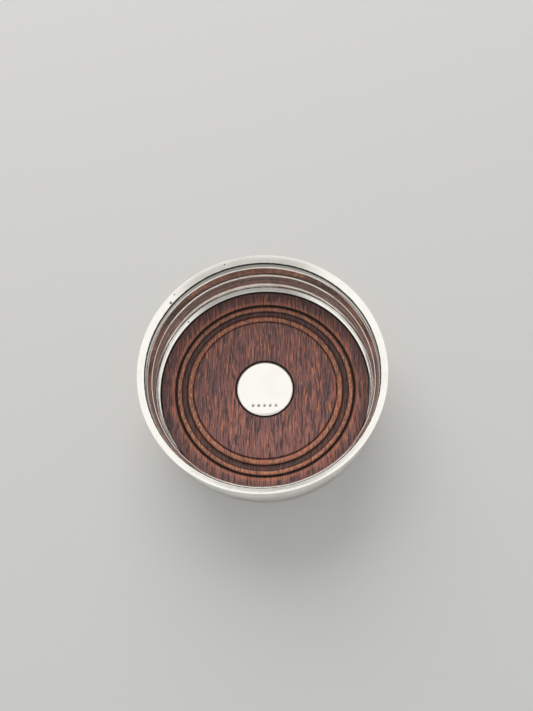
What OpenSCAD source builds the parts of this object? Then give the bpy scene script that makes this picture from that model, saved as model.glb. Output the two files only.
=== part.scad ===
// Bottle coaster: a silver gallery with a bold rim, on a turned hardwood base with a silver boss.
// Millimetres. The origin is on the table, under the middle of the boss, and Z is the turning axis.

/* [Baize] */
// Thickness of the baize under the base
baize_t = 1.2; // [0.8:0.1:2.5]
// Gap between the edge of the baize and the outside of the gallery's skirt
baize_margin = 0.9; // [0.4:0.1:3]

/* [Base board] */
// Thickness of the turned board
board_t = 9; // [8:0.1:14]
// Radius of the well where the gallery meets the top of the board
well_r = 55.1; // [48:0.1:64]
// Gap all round between the board and the gallery
board_gap = 0.3; // [0.05:0.01:0.5]
// Round on the top edge of the board
board_edge_r = 0.6; // [0.3:0.1:1]
// Width of the flat margin outside the beads
margin_w = 7.7; // [2:0.1:15]
// Width of each bead
bead_w = 3.2; // [2.4:0.1:3.6]
// Width of the cove between the two beads
cove_w = 2.6; // [1.8:0.1:3.2]
// Depth of the cove below the field
cove_depth = 1.5; // [0.8:0.1:2.2]
// Width of the sharp quirk beside each bead
quirk_w = 0.6; // [0.4:0.1:0.8]
// Depth of the quirks below the field
quirk_depth = 1.1; // [0.6:0.1:1.6]

/* [Gallery] */
// Thickness of the silver sheet
sheet_t = 0.8; // [0.6:0.05:1]
// Width of the edge turned in under the board
flange_w = 4.6; // [3.8:0.1:7]
// Lean of the hollow where it leaves the board
hollow_lean = 53; // [20:1:60]
// How far the belly stands out from the well
belly_w = 4.7; // [2:0.1:8]
// Height of the belly's widest line above the board
belly_h = 8.4; // [6:0.1:12]
// How far the waist stands out from the well
waist_w = 0.9; // [0.2:0.1:3]
// Rise from the belly to the waist
waist_rise = 9.2; // [7:0.1:14]
// How far the shoulder stands out from the well
shoulder_w = 1.55; // [1:0.05:3]
// Rise from the waist to the shoulder
shoulder_rise = 2.3; // [1.5:0.1:4]
// Lean of the wall at the shoulder
shoulder_lean = 25; // [10:1:40]
// How far the neck stands out from the well
neck_w = 2.3; // [1.5:0.1:4]
// Rise from the shoulder to the neck
neck_rise = 6.5; // [4:0.1:10]
// Lean of the wall below the corner at the neck
neck_lean = 8; // [0:1:20]
// Lean of the flare above the corner at the neck
flare_lean = 36; // [20:1:45]
// How far the crease under the rim stands out from the well
crease_w = 3.7; // [3:0.1:6]
// Rise from the neck to the crease under the rim
crease_rise = 1.8; // [1.2:0.1:4]
// Lean of the flare at the crease
crease_lean = 50; // [36:1:60]

/* [Rim] */
// How far the rim wire stands out from the crease
rim_w = 3.8; // [3.2:0.1:6]
// Height of the rim wire's brow above the crease
rim_h = 4.25; // [3.6:0.05:6]
// Height of the rim wire's upright inner edge
rim_inner_h = 0.9; // [0.4:0.1:1.2]
// Lean of the rim wire's face above its inner edge
rim_lean = 42; // [30:1:45]
// Lean of the rim wire's face at its brow
brow_lean = 50; // [46:1:80]
// Length of the sheet that lies under the rim wire
lip_w = 2.6; // [1.5:0.1:3.5]

/* [Foot] */
// Height of the foot moulding
foot_h = 5.4; // [4:0.1:8]
// Thickness of the foot moulding
foot_w = 2; // [1.5:0.1:5]
// Height of the foot moulding above the table
foot_lift = 0.7; // [0.3:0.1:0.8]

/* [Boss] */
// Radius of the boss
boss_r = 15; // [12:0.1:20]
// Gap between the boss and its recess
boss_gap = 0.45; // [0.2:0.05:0.8]
// Height of the boss above the field of the board
boss_proud = 0.6; // [0.3:0.1:1.2]
// Depth of the recess for the boss
boss_recess = 1.8; // [1.2:0.1:2.5]
// Thickness of the boss's sheet
boss_t = 0.8; // [0.6:0.1:1]
// Round on the shoulder of the boss
boss_edge_r = 1.5; // [0.9:0.1:2]

/* [Fixings] */
// Diameter of the boss stud
stud_d = 3; // [2:0.1:4]
// Gap round the stud
stud_gap = 0.1; // [0.05:0.01:0.2]
// Diameter of the washer
washer_d = 9; // [8:0.1:10]
// Thickness of the washer
washer_t = 0.5; // [0.4:0.1:0.8]
// Width across the flats of the nut
nut_w = 5.5; // [5:0.1:6.5]
// Thickness of the nut
nut_t = 1.8; // [1.4:0.1:2.2]
// Diameter of the counterbore under the board
counterbore_d = 11; // [10.5:0.1:13]
// Number of fixing pins
pin_count = 8; // [4:1:12]
// Diameter of a fixing pin
pin_d = 1.2; // [1:0.1:1.4]
// Length of a fixing pin
pin_len = 5; // [4:0.1:6]
// Diameter of a pin's head
pin_head_d = 2.2; // [1.8:0.1:2.6]
// Gap round a pin's shank
pin_gap = 0.02; // [0.01:0.01:0.05]

/* [Hidden] */
$fn = 96;

silver = "#d9d8d4";
wood = "#6e4640";
brass = "#b8954a";
baize = "#27482f";

// Overrun of every cut
cut = 0.5;
// Segments in each curve of a turned or spun profile
arc_steps = 14;

// Heights, from the table up
board_z = baize_t;
board_top = board_z + board_t;
flange_top = board_z + sheet_t;

// Points along an arc about centre c, from angle a0 to angle a1
function arc(c, r, a0, a1) =
    [for (i = [0:arc_steps]) let (a = a0 + (a1 - a0) * i / arc_steps) c + r * [cos(a), sin(a)]];

// Points along an ellipse about centre c with half-widths h, from angle a0 to angle a1
function oval(c, h, a0, a1) =
    [for (i = [0:arc_steps]) let (a = a0 + (a1 - a0) * i / arc_steps) c + [h[0] * cos(a), h[1] * sin(a)]];

// Points from p0 to p1 along a smooth curve that leans outwards by the angles a0 at p0 and a1 at p1
function sweep(p0, p1, a0, a1) =
    let (reach = norm(p1 - p0))
    [for (i = [0:arc_steps])
        let (t = i / arc_steps, s = 1 - t)
        s * s * ((1 + 2 * t) * p0 + t * reach * [sin(a0), cos(a0)])
        + t * t * ((1 + 2 * s) * p1 - s * reach * [sin(a1), cos(a1)])];

// The same points moved by d to the right of the way they run
function moved(p, d) = [
    for (i = [0:len(p) - 1])
        let (v = p[min(i + 1, len(p) - 1)] - p[max(i - 1, 0)])
        p[i] + d * [v[1], -v[0]] / norm(v)
];

function reversed(p) = [for (i = [len(p) - 1:-1:0]) p[i]];

// The points after the first, which the line before them already has
function rest(p) = [for (i = [1:len(p) - 1]) p[i]];

// The gallery, bottom to top: hollow, belly, waist, shoulder, neck with its corner, and the flare to the crease
skirt_r = well_r + sheet_t;
belly = [well_r + belly_w, board_top + belly_h];
waist = [well_r + waist_w, belly[1] + waist_rise];
shoulder = [well_r + shoulder_w, waist[1] + shoulder_rise];
neck = [well_r + neck_w, shoulder[1] + neck_rise];
crease = [well_r + crease_w, neck[1] + crease_rise];

inside_face = concat(
    sweep([well_r, board_top], belly, hollow_lean, 0),
    rest(sweep(belly, waist, 0, 0)),
    rest(sweep(waist, shoulder, 0, shoulder_lean)),
    rest(sweep(shoulder, neck, shoulder_lean, neck_lean))
);
flare = rest(sweep(neck, crease, flare_lean, crease_lean));

// The back of the sheet starts where the back of the hollow meets the back of the skirt
gallery_back = concat(
    [[skirt_r, board_top - sheet_t * tan(hollow_lean / 2)]],
    [for (p = moved(inside_face, sheet_t)) if (p[0] > skirt_r) p]
);

// Where the rim wire's brow and its outer edge are, as shares of its width and height
brow_share = 0.89;
edge_share = 0.87;
rim_inner = crease + [0, rim_inner_h];
brow = crease + [rim_w * brow_share, rim_h];
rim_edge = crease + [rim_w, rim_h * edge_share];

// The lip of the sheet carries the flat back of the rim wire
rim_dir = (rim_edge - crease) / norm(rim_edge - crease);
lip_end = crease + rim_dir * lip_w;
lip_back = lip_end + sheet_t * [rim_dir[1], -rim_dir[0]];

module gallery_wall() {
    color(silver)
    difference() {
        rotate_extrude()
            polygon(concat(
                [[well_r - flange_w, board_z], [well_r - flange_w, flange_top], [well_r, flange_top]],
                inside_face, flare,
                [lip_end, lip_back],
                reversed(gallery_back),
                [[skirt_r, board_z]]
            ));
        at_each_pin() {
            pin_hole(board_z, flange_top);
            pin_head_seat();
        }
    }
}

// The rim wire: an upright inner edge, a sloping face that rounds over at the brow, and a flat back on the lip
module rim_moulding() {
    color(silver)
    rotate_extrude()
        polygon(concat(
            [crease],
            sweep(rim_inner, brow, rim_lean, brow_lean),
            rest(sweep(brow, rim_edge, brow_lean, 180))
        ));
}

// The foot wire: an ovolo over a short upright fillet, soldered round the skirt
foot_fillet_share = 0.3;

module foot_moulding() {
    color(silver)
    rotate_extrude()
        polygon(concat(
            [[skirt_r, foot_lift + foot_h], [skirt_r, foot_lift], [skirt_r + foot_w, foot_lift]],
            oval([skirt_r, foot_lift + foot_h * foot_fillet_share],
                 [foot_w, foot_h * (1 - foot_fillet_share)], 0, 90)
        ));
}

// The top of the board, from the boss recess out to the edge
field_r = well_r - margin_w - 2 * (quirk_w + bead_w) - cove_w;
quirk_floor = board_top - quirk_depth;
inner_bead_r = field_r + quirk_w;
cove_r = inner_bead_r + bead_w;
outer_bead_r = cove_r + cove_w;
outer_field_r = outer_bead_r + bead_w + quirk_w;
board_r = well_r - board_gap;
recess_r = boss_r + boss_gap;
recess_z = board_top - boss_recess;

function bead(r0) = oval([r0 + bead_w / 2, quirk_floor], [bead_w / 2, quirk_depth], 180, 0);
function cove(r0) = oval([r0 + cove_w / 2, quirk_floor], [cove_w / 2, cove_depth - quirk_depth], 180, 360);

module base_board() {
    color(wood)
    difference() {
        rotate_extrude()
            polygon(concat(
                [[0, board_z], [0, recess_z], [recess_r, recess_z], [recess_r, board_top]],
                [[field_r, board_top], [field_r + quirk_w / 2, quirk_floor]],
                bead(inner_bead_r),
                cove(cove_r),
                bead(outer_bead_r),
                [[outer_bead_r + bead_w + quirk_w / 2, quirk_floor], [outer_field_r, board_top]],
                arc([board_r - board_edge_r, board_top - board_edge_r], board_edge_r, 90, 0),
                [[board_r, flange_top], [well_r - flange_w - board_gap, flange_top],
                 [well_r - flange_w - board_gap, board_z]]
            ));
        cylinder(h = board_top, d = stud_d + 2 * stud_gap);
        cylinder(h = counterbore_top, d = counterbore_d);
        at_each_pin() pin_hole(board_z, pin_top);
    }
}

// The boss: a pressed disc with a rounded shoulder and a short skirt down to the floor of its recess
boss_top = board_top + boss_proud;

module centre_boss() {
    color(silver)
    rotate_extrude()
        polygon(concat(
            [[0, boss_top - boss_t], [0, boss_top]],
            arc([boss_r - boss_edge_r, boss_top - boss_edge_r], boss_edge_r, 90, 0),
            [[boss_r, recess_z], [boss_r - boss_t, recess_z]],
            arc([boss_r - boss_edge_r, boss_top - boss_edge_r], boss_edge_r - boss_t, 0, 90)
        ));
}

// The fixings under the boss: thread left below the nut, and slack between it and the baize
stud_end = 0.5;
stud_slack = 0.2;
nut_z = board_z + stud_slack + stud_end;
washer_z = nut_z + nut_t;
counterbore_top = washer_z + washer_t;

module boss_stud() {
    color(brass)
    translate([0, 0, board_z + stud_slack])
        cylinder(h = boss_top - boss_t - board_z - stud_slack, d = stud_d);
}

module boss_washer() {
    color(brass)
    translate([0, 0, washer_z])
        difference() {
            cylinder(h = washer_t, d = washer_d);
            translate([0, 0, -cut])
                cylinder(h = washer_t + 2 * cut, d = stud_d + 2 * stud_gap);
        }
}

module boss_nut() {
    color(brass)
    translate([0, 0, nut_z])
        difference() {
            cylinder(h = nut_t, r = nut_w / 2 / cos(30), $fn = 6);
            translate([0, 0, -cut])
                cylinder(h = nut_t + 2 * cut, d = stud_d + 2 * stud_gap);
        }
}

// The pins, in a ring through the turned-in edge of the gallery
pin_ring_r = well_r - flange_w / 2;
pin_head_t = sheet_t / 2;
pin_top = board_z + pin_len;
module at_each_pin() {
    for (i = [0:pin_count - 1])
        rotate([0, 0, 360 * i / pin_count])
            translate([pin_ring_r, 0, 0])
                children();
}

module pin_hole(z0, z1) {
    translate([0, 0, z0 - cut])
        cylinder(h = z1 - z0 + cut + pin_gap, d = pin_d + 2 * pin_gap, $fn = 32);
}

module pin_head_seat() {
    translate([0, 0, board_z - cut])
        cylinder(h = pin_head_t + cut, d = pin_head_d + 2 * pin_gap, $fn = 32);
}

module fixing_pins() {
    color(brass)
    at_each_pin()
        translate([0, 0, board_z]) {
            cylinder(h = pin_len, d = pin_d, $fn = 32);
            cylinder(h = pin_head_t, d = pin_head_d, $fn = 32);
        }
}

module baize_pad() {
    color(baize)
    cylinder(h = baize_t, r = skirt_r - baize_margin);
}

rim_moulding();
gallery_wall();
foot_moulding();
base_board();
centre_boss();
boss_stud();
boss_washer();
boss_nut();
fixing_pins();
baize_pad();
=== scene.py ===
import math

import bmesh
import bpy
from mathutils import Matrix, Vector


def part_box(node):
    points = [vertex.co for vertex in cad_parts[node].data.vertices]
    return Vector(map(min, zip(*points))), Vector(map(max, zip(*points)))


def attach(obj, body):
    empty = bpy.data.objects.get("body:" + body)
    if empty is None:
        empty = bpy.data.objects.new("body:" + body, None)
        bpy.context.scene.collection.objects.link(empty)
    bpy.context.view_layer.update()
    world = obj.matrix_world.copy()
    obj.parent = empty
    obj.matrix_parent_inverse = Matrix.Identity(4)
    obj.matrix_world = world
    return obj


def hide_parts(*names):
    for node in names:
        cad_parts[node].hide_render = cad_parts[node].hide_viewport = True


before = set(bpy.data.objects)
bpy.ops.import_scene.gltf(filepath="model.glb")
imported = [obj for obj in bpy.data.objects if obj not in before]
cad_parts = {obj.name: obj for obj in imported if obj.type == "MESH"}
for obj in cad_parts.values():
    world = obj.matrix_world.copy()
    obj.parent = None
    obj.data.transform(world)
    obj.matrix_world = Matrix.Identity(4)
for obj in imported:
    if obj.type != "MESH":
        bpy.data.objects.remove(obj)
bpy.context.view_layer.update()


# The base board is a disc of mahogany, turned with a flat field round the recess for the boss, two beads with
# a cove between them and a sharp quirk on each side, and a flat margin that runs up to the gallery. It was
# stained, French polished and waxed, and old wax and painted shade darken the quirks and the cove.
MM = 0.001
ARC_STEPS = 24
TURN_STEPS = 360
EASE_STEPS = 4
EASE_SHARE = 0.45

board_low, board_high = (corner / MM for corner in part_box("base_board"))
board_z = board_low.z
board_top = board_high.z
board_r = board_high.x
well_r = 55.1
margin_w = 7.7
quirk_w = 0.6
quirk_depth = 1.1
bead_w = 3.2
cove_w = 2.6
cove_depth = 1.5
recess_r = 15.45
recess_depth = 1.8
board_edge_r = 0.6
rebate_r = 50.2
rebate_z = 2.0
counterbore_r = 5.5
counterbore_z = 4.2
stud_hole_r = 1.6
arris_r = 0.12


def oval(centre, half, a0, a1):
    """Points on an ellipse about centre, from angle a0 to angle a1 in degrees."""
    angles = [math.radians(a0 + (a1 - a0) * i / ARC_STEPS) for i in range(ARC_STEPS + 1)]
    return [(centre[0] + half[0] * math.cos(a), centre[1] + half[1] * math.sin(a)) for a in angles]


def eased(outline, size, sharp=35):
    """A closed outline with a small round on each corner, off the axis, sharper than the given angle."""
    made = []
    for i, point in enumerate(outline):
        here = Vector(point)
        back = Vector(outline[i - 1]) - here
        ahead = Vector(outline[(i + 1) % len(outline)]) - here
        turn = math.pi - back.angle(ahead)
        if point[0] == 0 or math.degrees(turn) < sharp:
            made.append(point)
            continue
        reach = min(size, back.length * EASE_SHARE, ahead.length * EASE_SHARE)
        start = here + back.normalized() * reach
        end = here + ahead.normalized() * reach
        for step in range(EASE_STEPS + 1):
            t = step / EASE_STEPS
            made.append(tuple(start * (1 - t) ** 2 + here * 2 * t * (1 - t) + end * t ** 2))
    return made


def lathe(name, outline, sharp=35):
    """Turn a closed outline of (radius, height) points in millimetres round the Z axis, shaded smooth."""
    count = len(outline)
    points, faces = [], []
    for turn in range(TURN_STEPS):
        angle = 2 * math.pi * turn / TURN_STEPS
        here = turn * count
        there = (turn + 1) % TURN_STEPS * count
        for i, (radius, height) in enumerate(outline):
            j = (i + 1) % count
            points.append((radius * MM * math.cos(angle), radius * MM * math.sin(angle), height * MM))
            faces.append((here + i, there + i, there + j, here + j))
    mesh = bpy.data.meshes.new(name)
    mesh.from_pydata(points, [], faces)
    work = bmesh.new()
    work.from_mesh(mesh)
    bmesh.ops.remove_doubles(work, verts=work.verts, dist=MM / 1000)
    bmesh.ops.recalc_face_normals(work, faces=work.faces)
    work.to_mesh(mesh)
    work.free()
    mesh.shade_smooth()
    mesh.set_sharp_from_angle(angle=math.radians(sharp))
    piece = bpy.data.objects.new(name, mesh)
    bpy.context.scene.collection.objects.link(piece)
    return piece


def add(tree, kind, links=None, **fields):
    """Add a shader node, set its fields, and give its sockets their values or links."""
    made = tree.nodes.new(kind)
    for field, value in fields.items():
        setattr(made, field, value)
    for socket, value in (links or {}).items():
        if isinstance(value, bpy.types.NodeSocket):
            tree.links.new(value, made.inputs[socket])
        else:
            made.inputs[socket].default_value = value
    return made


def maths(tree, operation, first, second=0.0, clamp=False):
    """The result of one Math node."""
    return add(tree, "ShaderNodeMath", {0: first, 1: second}, operation=operation, use_clamp=clamp).outputs[0]


def ramp(tree, value, low, high, out_low=0.0, out_high=1.0):
    """A value brought from one range to another with soft ends."""
    links = {0: value, 1: low, 2: high, 3: out_low, 4: out_high}
    return add(tree, "ShaderNodeMapRange", links, interpolation_type="SMOOTHSTEP").outputs[0]


def mixed(tree, factor, first, second):
    """Two colours mixed."""
    return add(tree, "ShaderNodeMix", {0: factor, 6: first, 7: second}, data_type="RGBA").outputs[2]


def streaks(tree, place, size, detail=3.0, rough=0.5, seed=0.0, warp=0.0):
    """Noise stretched to the given size in millimetres along X, Y and Z."""
    scale = [1 / (s * MM) for s in size]
    stretched = add(tree, "ShaderNodeVectorMath", {0: place, 1: scale}, operation="MULTIPLY").outputs[0]
    links = {"Vector": stretched, "W": seed, "Scale": 1.0, "Detail": detail, "Roughness": rough,
             "Distortion": warp}
    return add(tree, "ShaderNodeTexNoise", links, noise_dimensions="4D").outputs["Fac"]


def axes(tree, place):
    """The distance from the turning axis, and the height, in millimetres."""
    parts = add(tree, "ShaderNodeSeparateXYZ", {0: place})
    flat = add(tree, "ShaderNodeCombineXYZ", {0: parts.outputs[0], 1: parts.outputs[1]})
    radius = add(tree, "ShaderNodeVectorMath", {0: flat.outputs[0]}, operation="LENGTH").outputs["Value"]
    return maths(tree, "DIVIDE", radius, MM), maths(tree, "DIVIDE", parts.outputs[2], MM)


def ring(tree, radius, centre, half, soft):
    """One within the given half-width of a radius, falling to nothing over the soft width."""
    away = maths(tree, "ABSOLUTE", maths(tree, "SUBTRACT", radius, centre))
    return ramp(tree, away, half, half + soft, 1.0, 0.0)


def most(tree, masks):
    """The largest of several masks."""
    made = masks[0]
    for mask in masks[1:]:
        made = maths(tree, "MAXIMUM", made, mask)
    return made


def new_material(name, slot, *pieces):
    """A material on the pieces; the slot is not used. Gives its tree, its shader and the object's
    coordinates.
    """
    material = bpy.data.materials.new(name)
    material.use_nodes = True
    tree = material.node_tree
    for piece in pieces:
        piece.data.materials.clear()
        piece.data.materials.append(material)
    return tree, tree.nodes["Principled BSDF"], tree.nodes.new("ShaderNodeTexCoord").outputs["Object"]


def set_shader(tree, shader, height=None, depth=0.0, **values):
    """Give the shader's sockets their values or links, and a bump of the given depth in millimetres."""
    for label, value in values.items():
        socket = shader.inputs[label.replace("_", " ")]
        if isinstance(value, bpy.types.NodeSocket):
            tree.links.new(value, socket)
        else:
            socket.default_value = value
    if height:
        bump = add(tree, "ShaderNodeBump", {"Height": height, "Distance": depth * MM, "Strength": 1.0})
        tree.links.new(bump.outputs[0], shader.inputs["Normal"])


field_r = well_r - margin_w - 2 * (quirk_w + bead_w) - cove_w
inner_bead_r = field_r + quirk_w
cove_r = inner_bead_r + bead_w
outer_bead_r = cove_r + cove_w
outer_field_r = outer_bead_r + bead_w + quirk_w
inner_crown_r = inner_bead_r + bead_w / 2
outer_crown_r = outer_bead_r + bead_w / 2
cove_middle_r = cove_r + cove_w / 2
quirk_z = board_top - quirk_depth
recess_z = board_top - recess_depth
bead_half = (bead_w / 2, quirk_depth)
board_outline = [
    (stud_hole_r, counterbore_z), (stud_hole_r, recess_z), (recess_r, recess_z),
    (recess_r, board_top), (field_r, board_top), (field_r + quirk_w / 2, quirk_z),
    *oval((inner_crown_r, quirk_z), bead_half, 180, 0),
    *oval((cove_middle_r, quirk_z), (cove_w / 2, cove_depth - quirk_depth), 180, 360)[1:-1],
    *oval((outer_crown_r, quirk_z), bead_half, 180, 0),
    (outer_field_r - quirk_w / 2, quirk_z), (outer_field_r, board_top),
    *oval((board_r - board_edge_r, board_top - board_edge_r), (board_edge_r, board_edge_r), 90, 0),
    (board_r, rebate_z), (rebate_r, rebate_z), (rebate_r, board_z), (counterbore_r, board_z),
    (counterbore_r, counterbore_z),
]
board = lathe("turned_board", eased(board_outline, arris_r))
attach(board, "root")
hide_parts("base_board")

heartwood = (0.066, 0.032, 0.034, 1)
red_wood = (0.260, 0.105, 0.095, 1)
bright_wood = (0.640, 0.215, 0.110, 1)
painted_light_wood = (0.460, 0.200, 0.170, 1)
painted_glint_gold = (0.80, 0.42, 0.18, 1)
wax_and_shade_dark = (0.010, 0.0065, 0.006, 1)
drift_size = (11, 20, 20)
drift_reach = 4.0
ribbon_size = (7, 30, 30)
figure_size = (0.62, 10, 7)
pore_size = (0.45, 7, 4)
fleck_size = (0.65, 8, 6)
glint_size = (0.8, 2, 2)
painted_light_front = -45
painted_light_back = 8
tree, shader, place = new_material("french_polished_mahogany", "hardwood", board)

# The grain runs from front to back and drifts a little from side to side. The front is painted paler, as
# painted light.
drift = streaks(tree, place, drift_size, detail=2, seed=3)
drift = add(tree, "ShaderNodeCombineXYZ", {0: maths(tree, "MULTIPLY", drift, drift_reach * MM)}).outputs[0]
grain_place = add(tree, "ShaderNodeVectorMath", {0: place, 1: drift}, operation="ADD").outputs[0]
ribbon = streaks(tree, grain_place, ribbon_size, detail=2, seed=1)
figure = streaks(tree, grain_place, figure_size, detail=3, rough=0.6, seed=2)
pores = streaks(tree, grain_place, pore_size, detail=2, seed=5)
flecks = streaks(tree, grain_place, fleck_size, detail=2, seed=7)
front = add(tree, "ShaderNodeSeparateXYZ", {0: place}).outputs[1]
tone = maths(tree, "ADD", maths(tree, "MULTIPLY", figure, 1.2), maths(tree, "MULTIPLY", ribbon, 0.4))
colour = mixed(tree, ramp(tree, tone, 0.55, 0.85), heartwood, red_wood)
colour = mixed(tree, ramp(tree, front, painted_light_front * MM, painted_light_back * MM, 0.42, 0.0), colour, painted_light_wood)
colour = mixed(tree, ramp(tree, tone, 0.84, 1.1), colour, bright_wood)
colour = mixed(tree, ramp(tree, flecks, 0.55, 0.63, 0.0, 0.9), colour, bright_wood)
colour = mixed(tree, ramp(tree, pores, 0.50, 0.57), colour, heartwood)

# The crowns of the beads and the edge of the margin by the outer quirk are painted brighter, for wear by
# handling and for painted highlight, with painted gold glints on the beads. The margin is painted darker
# towards the gallery, as painted shade.
radius = axes(tree, place)[0]
worn_and_lit_beads = most(tree, [ring(tree, radius, crown_r, 0.7, 0.9) for crown_r in (inner_crown_r, outer_crown_r)])
# Wear and painted highlight together: the bead crowns and the margin by the outer quirk.
worn = most(tree, [worn_and_lit_beads, ring(tree, radius, outer_field_r + 0.9, 0.4, 1.0)])
worn = maths(tree, "MULTIPLY", worn, ramp(tree, figure, 0.35, 0.6, 0.1, 0.6))
colour = mixed(tree, worn, colour, bright_wood)
painted_glints = ramp(tree, streaks(tree, place, glint_size, detail=2, seed=9), 0.54, 0.62, 0.0, 0.8)
colour = mixed(tree, maths(tree, "MULTIPLY", worn_and_lit_beads, painted_glints), colour, painted_glint_gold)
shaded = ramp(tree, radius, outer_field_r + 1.5, board_r - 1.5, 0.0, 0.55)
colour = mixed(tree, shaded, colour, heartwood)

# Old wax and painted shade darken the quirks and the cove, and the wood along the gallery and round the
# boss, more in some.
inner_quirk = ring(tree, radius, field_r + 0.45, 0.2, 0.35)
outer_quirk = ring(tree, radius, outer_field_r - quirk_w, 0.6, 0.5)
cove_edges = most(tree, [ring(tree, radius, edge_r, 0.25, 0.5) for edge_r in (cove_r, outer_bead_r)])
cove_floor = ring(tree, radius, cove_middle_r, cove_w / 2 - 0.5, 0.5)
beside_gallery = ramp(tree, radius, board_r - 0.8, board_r - 0.2)
beside_boss = ramp(tree, radius, recess_r + 0.1, recess_r + 0.6, 1.0, 0.0)
wax_and_shade_masks = [(inner_quirk, 0.5), (outer_quirk, 1.0), (cove_edges, 0.9), (cove_floor, 0.68), (beside_gallery, 1.0),
         (beside_boss, 1.0)]
wax_and_shade = most(tree, [maths(tree, "MULTIPLY", mask, amount) for mask, amount in wax_and_shade_masks])
colour = mixed(tree, maths(tree, "MULTIPLY", wax_and_shade, 0.88), colour, wax_and_shade_dark)
gloss = maths(tree, "ADD", ramp(tree, figure, 0.3, 0.7, 0.36, 0.5), maths(tree, "MULTIPLY", wax_and_shade, 0.15))
relief = maths(tree, "SUBTRACT", maths(tree, "MULTIPLY", figure, 0.4), ramp(tree, pores, 0.52, 0.62))
set_shader(tree, shader, relief, 0.06, Base_Color=colour, Roughness=gloss, IOR=1.5, Coat_Weight=0.12,
           Coat_Roughness=0.2)


# The centre boss is a disc pressed from sheet silver, with a soft bevel and a short skirt that stands in the
# recess of the board. Its middle is polished flat, and plain round pips are punched near its front edge.
boss_low, boss_high = (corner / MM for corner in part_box("centre_boss"))
boss_r = boss_high.x
boss_top = boss_high.z
boss_z = boss_low.z
boss_t = 0.8
boss_edge_r = 1.5
boss_bevel_w = 1.15
boss_bevel_h = 0.5
boss_shoulder_w = 0.3
boss_shoulder_h = 1.3
boss_ease = 0.35
boss_face = [(boss_r * share, boss_top) for share in (0.3, 0.6, 0.8)]
boss_inside = (boss_edge_r - boss_t, boss_edge_r - boss_t)
boss_outline = [
    (0, boss_top - boss_t), (0, boss_top), *boss_face, (boss_r - boss_bevel_w, boss_top),
    (boss_r - boss_shoulder_w, boss_top - boss_bevel_h), (boss_r, boss_top - boss_shoulder_h),
    (boss_r, boss_z), (boss_r - boss_t, boss_z),
    *oval((boss_r - boss_edge_r, boss_top - boss_edge_r), boss_inside, 0, 90),
]
boss = lathe("pressed_boss", eased(boss_outline, boss_ease, sharp=15), sharp=60)
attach(boss, "root")
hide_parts("centre_boss")


def new_group(name, inputs, outputs):
    """A shader node group; gives the group, its input sockets by name and its output node."""
    group = bpy.data.node_groups.new(name, "ShaderNodeTree")
    for label, kind, value in inputs:
        group.interface.new_socket(label, in_out="INPUT", socket_type=kind).default_value = value
    for label, kind in outputs:
        group.interface.new_socket(label, in_out="OUTPUT", socket_type=kind)
    return group, group.nodes.new("NodeGroupInput").outputs, group.nodes.new("NodeGroupOutput")


vector, number, tint = "NodeSocketVector", "NodeSocketFloat", "NodeSocketColor"
handling, given, result = new_group(
    "handling_marks",
    [("Place", vector, (0, 0, 0)), ("Dull", number, 0.12), ("Worn", number, 0.22)],
    [("Roughness", number), ("Height", number)],
)
smears = streaks(handling, given["Place"], (14, 14, 14), detail=4, rough=0.6, seed=11, warp=0.6)
hairs = streaks(handling, given["Place"], (0.12, 2.6, 1.5), detail=2, seed=12, warp=0.3)
cross_hairs = streaks(handling, given["Place"], (2.2, 0.11, 1.5), detail=2, seed=13, warp=0.3)
scratches = most(handling, [ramp(handling, hairs, 0.64, 0.74), ramp(handling, cross_hairs, 0.66, 0.76)])
hammered = streaks(handling, given["Place"], (5.5, 5.5, 5.5), detail=1, rough=0.4, seed=14)
span = maths(handling, "SUBTRACT", given["Worn"], given["Dull"])
gloss = maths(handling, "MULTIPLY", ramp(handling, smears, 0.42, 0.72), span)
gloss = maths(handling, "ADD", given["Dull"], gloss)
gloss = maths(handling, "ADD", gloss, maths(handling, "MULTIPLY", scratches, 0.05))
handling.links.new(gloss, result.inputs["Roughness"])
dents = maths(handling, "MULTIPLY", hammered, 3.0)
dents = maths(handling, "SUBTRACT", dents, maths(handling, "MULTIPLY", scratches, 0.06))
handling.links.new(dents, result.inputs["Height"])

tarnish, given, result = new_group(
    "tarnish_film",
    [("Place", vector, (0, 0, 0)), ("Metal", tint, (0.9, 0.9, 0.9, 1)), ("Film", tint, (0.5, 0.4, 0.3, 1)),
     ("Amount", number, 0.3)],
    [("Color", tint)],
)
cloud = streaks(tarnish, given["Place"], (9, 9, 9), detail=5, rough=0.62, seed=21, warp=0.8)
specks = streaks(tarnish, given["Place"], (0.8, 0.8, 0.8), detail=2, seed=22)
speckled = maths(tarnish, "MULTIPLY", ramp(tarnish, specks, 0.7, 0.8), given["Amount"])
film = maths(tarnish, "MULTIPLY", ramp(tarnish, cloud, 0.4, 0.75), given["Amount"])
film = maths(tarnish, "ADD", film, speckled, clamp=True)
tarnish.links.new(mixed(tarnish, film, given["Metal"], given["Film"]), result.inputs["Color"])

silver_colour = (0.93, 0.915, 0.88, 1)
silver_film = (0.56, 0.51, 0.44, 1)
paste_shade_reflection_dark = (0.035, 0.030, 0.027, 1)


def distance(tree, place, point):
    """The distance in metres from a point given in millimetres."""
    links = {0: place, 1: [c * MM for c in point]}
    return add(tree, "ShaderNodeVectorMath", links, operation="DISTANCE").outputs["Value"]


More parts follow.
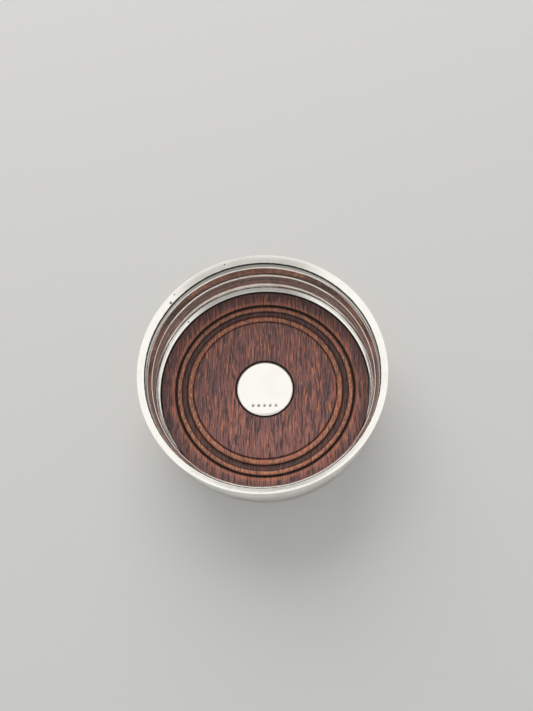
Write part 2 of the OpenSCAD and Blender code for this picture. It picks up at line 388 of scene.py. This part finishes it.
def silver(name, piece, creases=(), spots=(), dull=0.12, worn=0.2, film=0.3, purity=1.0, extra_height=None):
    """Old polished silver, painted dark along each line (radius, height, reach) and in each spot."""
    tree, shader, place = new_material(name, "silver", piece)
    marks = add(tree, "ShaderNodeGroup", {"Place": place, "Dull": dull, "Worn": worn}, node_tree=handling)
    metal = add(tree, "ShaderNodeGroup", {"Place": place, "Metal": silver_colour, "Film": silver_film,
                                          "Amount": film}, node_tree=tarnish)
    radius, height = axes(tree, place)
    ragged = streaks(tree, place, (1.6, 1.6, 1.6), detail=3, rough=0.6, seed=31)
    ragged = ramp(tree, ragged, 0.3, 0.7, 0.75, 1.15)
    # Dark paste, with painted shade in the creases and a painted reflection on the gallery's hollow.
    paste_shade_reflection = []
    for crease_r, crease_z, reach in creases:
        across = maths(tree, "SUBTRACT", radius, crease_r)
        up = maths(tree, "SUBTRACT", height, crease_z)
        squares = maths(tree, "ADD", maths(tree, "MULTIPLY", across, across), maths(tree, "MULTIPLY", up, up))
        away = maths(tree, "DIVIDE", maths(tree, "SQRT", squares), maths(tree, "MULTIPLY", ragged, reach))
        paste_shade_reflection.append(ramp(tree, away, 0.7, 1.0, 1.0, 0.0))
    for spot, reach in spots:
        reached = maths(tree, "MULTIPLY", ragged, reach * MM)
        away = maths(tree, "DIVIDE", distance(tree, place, spot), reached)
        paste_shade_reflection.append(ramp(tree, away, 0.3, 1.0, 0.8, 0.0))
    paste_shade_reflection = most(tree, paste_shade_reflection)
    colour = mixed(tree, paste_shade_reflection, metal.outputs["Color"], paste_shade_reflection_dark)
    gloss = maths(tree, "ADD", marks.outputs["Roughness"], maths(tree, "MULTIPLY", paste_shade_reflection, 0.4))
    metallic = maths(tree, "SUBTRACT", purity, paste_shade_reflection, clamp=True)
    relief = marks.outputs["Height"]
    if extra_height:
        relief = maths(tree, "ADD", relief, extra_height(tree, place))
    set_shader(tree, shader, relief, 0.02, Base_Color=colour, Roughness=gloss, Metallic=metallic)


pip_r = 1.0
pip_dent = 14.0
pip_start = Vector((-6.2, -9.2, boss_top))
pip_pitch = Vector((3.0, 0, 0))
pip_places = [pip_start + pip_pitch * i for i in range(5)]


def punched_pips(tree, place):
    """A row of identical round dents."""
    gaps = [distance(tree, place, pip) for pip in pip_places]
    dents = [ramp(tree, gap, pip_r * MM / 2, pip_r * MM, pip_dent, 0.0) for gap in gaps]
    return maths(tree, "MULTIPLY", most(tree, dents), -1.0)


pip_spots = [(pip, 0.75) for pip in pip_places]
silver("polished_boss_silver", boss, spots=pip_spots, dull=0.14, worn=0.22, film=0.1,
       extra_height=punched_pips)


# Under the boss a brass stud goes down through the board, and a washer and a hexagon nut in a counterbore
# pull it tight. Brass pins hold the gallery's turned-in edge. The baize covers them all. The brass is dull.
brass_colour = (0.62, 0.44, 0.17, 1)
brass_film = (0.30, 0.19, 0.09, 1)
fixings = [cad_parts[name] for name in ("boss_stud", "boss_washer", "boss_nut", "fixing_pins")]
tree, shader, place = new_material("dulled_brass", "brass", *fixings)
marks = add(tree, "ShaderNodeGroup", {"Place": place, "Dull": 0.26, "Worn": 0.42}, node_tree=handling)
metal = add(tree, "ShaderNodeGroup", {"Place": place, "Metal": brass_colour, "Film": brass_film,
                                      "Amount": 0.7}, node_tree=tarnish)
set_shader(tree, shader, marks.outputs["Height"], 0.02, Base_Color=metal.outputs["Color"],
           Roughness=marks.outputs["Roughness"], Metallic=1.0)


# The gallery is spun from sheet silver over a chuck. Inside, it leaves the board in a broad hollow, swells
# into a belly, draws in to a waist, steps at a fine shoulder, and flares above a neck. Its lower edge is
# turned in and pinned under the board. Dried paste and painted shade darken it along the wood and under the
# rim, and a dark line on the hollow is a painted reflection.
sheet_t = 0.8
flange_r = 50.5
hollow_start = Vector((well_r, board_top))
hollow_lean = 53
belly = Vector((59.8, board_top + 8.4))
waist = Vector((56.0, board_top + 17.6))
shoulder = Vector((56.62, board_top + 19.5))
shoulder_lean = 25
ledge = Vector((0.06, 0.02))
neck = Vector((57.45, board_top + 26.3))
neck_lean = 5
flare_lean = 31
crease = Vector((58.85, board_top + 28.25))
crease_lean = 41


def sweep(start, end, lean, end_lean):
    """A smooth curve that leans outwards by the given angles at its start and its end."""
    reach = (end - start).length
    angles = (math.radians(lean), math.radians(end_lean))
    first, last = (reach * Vector((math.sin(a), math.cos(a))) for a in angles)
    made = []
    for i in range(ARC_STEPS + 1):
        t = i / ARC_STEPS
        placed = start * (1 - t) ** 2 * (1 + 2 * t) + end * t ** 2 * (3 - 2 * t)
        made.append(tuple(placed + first * t * (1 - t) ** 2 - last * t ** 2 * (1 - t)))
    return made


def moved(line, gap):
    """An open line of points moved sideways, to its right as it runs."""
    made = []
    for i, point in enumerate(line):
        along = Vector(line[min(i + 1, len(line) - 1)]) - Vector(line[max(i - 1, 0)])
        made.append((point[0] + along.normalized().y * gap, point[1] - along.normalized().x * gap))
    return made


skirt_r = well_r + sheet_t
inside_face = [
    *sweep(hollow_start, belly, hollow_lean, 0),
    *sweep(belly, waist, 0, 0)[1:],
    *sweep(waist, shoulder - ledge, 0, shoulder_lean)[1:],
    *sweep(shoulder + ledge, neck, neck_lean, neck_lean),
]
flare = sweep(neck, crease, flare_lean, crease_lean)[1:]
back_start = (skirt_r, board_top - sheet_t * math.tan(math.radians(hollow_lean / 2)))
gallery_back = [back_start, *[p for p in moved(inside_face, sheet_t) if p[0] > skirt_r]]

# The flare ends in a lip, which leans as the rim wire that is seated on it does.
rim_w = 3.73
rim_h = 3.35
edge_share = 0.87
lip_w = 2.6
rim_edge = crease + Vector((rim_w, rim_h * edge_share))
rim_along = (rim_edge - crease).normalized()
lip_end = crease + rim_along * lip_w
lip_back = lip_end + Vector((rim_along.y, -rim_along.x)) * sheet_t
gallery_outline = [
    (flange_r, board_z), (flange_r, board_z + sheet_t), (well_r, board_z + sheet_t),
    *inside_face, *flare,
    tuple(lip_end), tuple(lip_back), *gallery_back[::-1], (skirt_r, board_z),
]
gallery = lathe("spun_gallery", gallery_outline)
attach(gallery, "root")
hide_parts("gallery_wall")
# Dark lines: paste and painted shade at the wood and under the rim, and a painted reflection on the hollow.
wood_line = (well_r, board_top + 0.1, 0.3)
painted_reflection_line = (57.3, board_top + 2.1, 0.36)
rim_line = (crease.x, crease.y + 0.1, 0.36)
gallery_spots = [((-41.2, 38.1, 11.0), 0.7)]


def spun_rings(tree, place):
    """Fine rings left by the spinning tool."""
    radius, height = axes(tree, place)
    across = add(tree, "ShaderNodeCombineXYZ", {0: radius, 1: height}).outputs[0]
    rings = add(tree, "ShaderNodeTexNoise", {"Vector": across, "Scale": 2.4, "Detail": 2.0}).outputs["Fac"]
    return maths(tree, "MULTIPLY", rings, 0.6)


silver("spun_silver", gallery, creases=[wood_line, painted_reflection_line, rim_line], spots=gallery_spots, dull=0.06,
       worn=0.12, film=0.3, purity=0.92, extra_height=spun_rings)


# The rim is a broad drawn wire, bent into a ring and soldered on the gallery's lip. From a short upright
# inner edge its face slopes up and outwards and rounds over at the brow, and its back is flat. Dried paste
# and painted shade darken the crease where it meets the gallery, and paste marks the corner above that.
rim_inner_h = 0.8
rim_lean = 53
brow_lean = 57
brow_share = 0.89
rim_ease = 0.15
rim_inner = crease + Vector((0, rim_inner_h))
brow = crease + Vector((rim_w * brow_share, rim_h))
rim_face = [*sweep(rim_inner, brow, rim_lean, brow_lean), *sweep(brow, rim_edge, brow_lean, 180)[1:]]
rim = lathe("rim_wire", eased([tuple(crease), *rim_face], rim_ease), sharp=60)
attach(rim, "root")
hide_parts("rim_moulding")
corner_line = (crease.x + 0.14, crease.y + rim_inner_h - 0.1, 0.5)
rim_spots = [((-46.8, 37.5, 40.1), 1.1), ((-45.0, 41.6, 41.1), 0.6), ((-19.4, 57.9, 41.1), 0.6)]
silver("rim_silver", rim, creases=[rim_line, corner_line], spots=rim_spots, dull=0.16, worn=0.26, film=0.15)


# The foot is a second wire, an ovolo over a short fillet, soldered round the outside of the gallery's skirt.
# It takes the knocks when the coaster slides on a table, and stands just clear of it.
foot_low, foot_high = (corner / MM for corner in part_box("foot_moulding"))
foot_ease = 0.25
foot_fillet_share = 0.3
foot_fillet_z = foot_low.z + (foot_high.z - foot_low.z) * foot_fillet_share
foot_outline = [
    (skirt_r, foot_high.z), (skirt_r, foot_low.z), (foot_high.x, foot_low.z),
    *oval((skirt_r, foot_fillet_z), (foot_high.x - skirt_r, foot_high.z - foot_fillet_z), 0, 90)[:-1],
]
foot = lathe("foot_wire", eased(foot_outline, foot_ease))
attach(foot, "root")
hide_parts("foot_moulding")
# The crease where the foot meets the skirt is painted dark, as paste and painted shade.
silver("foot_silver", foot, creases=[(skirt_r, foot_high.z, 0.5)], dull=0.16, worn=0.28, film=0.4)


# A disc of green baize is glued under the base. It hides the nut, the turned-in edge and the pins, and lets
# the coaster slide without marking the table.
baize_low, baize_high = (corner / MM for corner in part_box("baize_pad"))
baize_ease = 0.3
baize_r = baize_high.x
baize_outline = [(0, baize_low.z), (baize_r, baize_low.z), (baize_r, baize_high.z), (0, baize_high.z)]
baize = lathe("baize_disc", eased(baize_outline, baize_ease))
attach(baize, "root")
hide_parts("baize_pad")
green = (0.020, 0.085, 0.038, 1)
pale_green = (0.045, 0.150, 0.075, 1)
rubbed_green = (0.05, 0.11, 0.06, 1)
tree, shader, place = new_material("green_baize", "baize", baize)
nap = streaks(tree, place, (0.5, 0.9, 0.5), detail=4, rough=0.7, seed=41, warp=1.5)
patches = streaks(tree, place, (16, 22, 16), detail=3, seed=42)
colour = mixed(tree, ramp(tree, nap, 0.35, 0.7), green, pale_green)
colour = mixed(tree, ramp(tree, patches, 0.45, 0.7, 0.0, 0.4), colour, rubbed_green)
set_shader(tree, shader, nap, 0.25, Base_Color=colour, Roughness=0.95, Sheen_Weight=0.4, Sheen_Roughness=0.6)


# The coaster stands on a plain pale floor under a broad soft light, in a studio whose walls are greyer than
# its ceiling, so that polished metal shows some modelling.
floor_half = 3.0
floor_mesh = bpy.data.meshes.new("floor")
floor_corners = [(-floor_half, -floor_half, 0), (floor_half, -floor_half, 0), (floor_half, floor_half, 0),
                 (-floor_half, floor_half, 0)]
floor_mesh.from_pydata(floor_corners, [], [(0, 1, 2, 3)])
floor = bpy.data.objects.new("floor", floor_mesh)
bpy.context.scene.collection.objects.link(floor)
floor_material = bpy.data.materials.new("pale_floor")
floor_material.use_nodes = True
floor_tree = floor_material.node_tree
set_shader(floor_tree, floor_tree.nodes["Principled BSDF"], Base_Color=(0.80, 0.80, 0.78, 1), Roughness=0.9)
floor_mesh.materials.append(floor_material)

wall_grey = (0.40, 0.395, 0.38, 1)
ceiling_white = (1.06, 1.05, 1.02, 1)
screen_grey = (0.44, 0.43, 0.41, 1)
low_screen_grey = (0.26, 0.255, 0.245, 1)
even_grey = (0.5, 0.5, 0.5, 1)
screen_side = (0.12, -0.84, 0.53)
screen_over = (0.05, -0.36, 0.93)
low_screen_side = (0.15, -0.99, 0)
world = bpy.data.worlds.new("studio")
bpy.context.scene.world = world
world.use_nodes = True
tree = world.node_tree
direction = add(tree, "ShaderNodeTexCoord").outputs["Generated"]
upward = add(tree, "ShaderNodeSeparateXYZ", {0: direction}).outputs[2]


def facing(side):
    """How nearly the world's direction is that of a side of the studio."""
    links = {0: direction, 1: side}
    return add(tree, "ShaderNodeVectorMath", links, operation="DOT_PRODUCT").outputs["Value"]


# Grey screens stand in front of the coaster and over it, and a darker one stands low along the front. The
# floor and other matt surfaces are lit evenly.
ahead = ramp(tree, facing(screen_side), 0.66, 0.92)
ahead = maths(tree, "MULTIPLY", ahead, ramp(tree, upward, 0.45, 0.85, 1.0, 0.0))
over = ramp(tree, facing(screen_over), 0.94, 0.98, 0.0, 0.8)
low = ramp(tree, facing(low_screen_side), -0.2, 0.25)
low = maths(tree, "MULTIPLY", low, ramp(tree, upward, 0.2, 0.36, 0.88, 0.0))
seen = mixed(tree, ramp(tree, upward, -0.02, 0.09), wall_grey, ceiling_white)
seen = mixed(tree, most(tree, [ahead, over]), seen, screen_grey)
seen = mixed(tree, low, seen, low_screen_grey)
path = tree.nodes.new("ShaderNodeLightPath")
direct = most(tree, [path.outputs["Is Camera Ray"], path.outputs["Is Glossy Ray"]])
tree.links.new(mixed(tree, direct, even_grey, seen), tree.nodes["Background"].inputs["Color"])

window_place = Vector((-0.35, 1.4, 0.9))
window_aim = Vector((0, 0, 0.02))
window_light = bpy.data.lights.new("window", "AREA")
window_light.size = 1.8
window_light.energy = 19.0
window_light.color = (1.0, 0.98, 0.95)
window = bpy.data.objects.new("window", window_light)
bpy.context.scene.collection.objects.link(window)
window.location = window_place
window.rotation_euler = (window_aim - window_place).to_track_quat("-Z", "Y").to_euler()
window.visible_glossy = False

camera = bpy.data.cameras.new("camera")
camera.lens = 50.63
camera.sensor_width = 36
camera_place = (0.0254, -0.1569, 0.5114)
camera_axes = Matrix(((0.99880, 0.01617, 0.04624), (0.0, 0.94397, -0.33003), (-0.04899, 0.32963, 0.94284)))
camera_object = bpy.data.objects.new("camera", camera)
bpy.context.scene.collection.objects.link(camera_object)
camera_object.matrix_world = Matrix.Translation(camera_place) @ camera_axes.to_4x4()
bpy.context.scene.camera = camera_object
bpy.context.scene.view_settings.view_transform = "Standard"
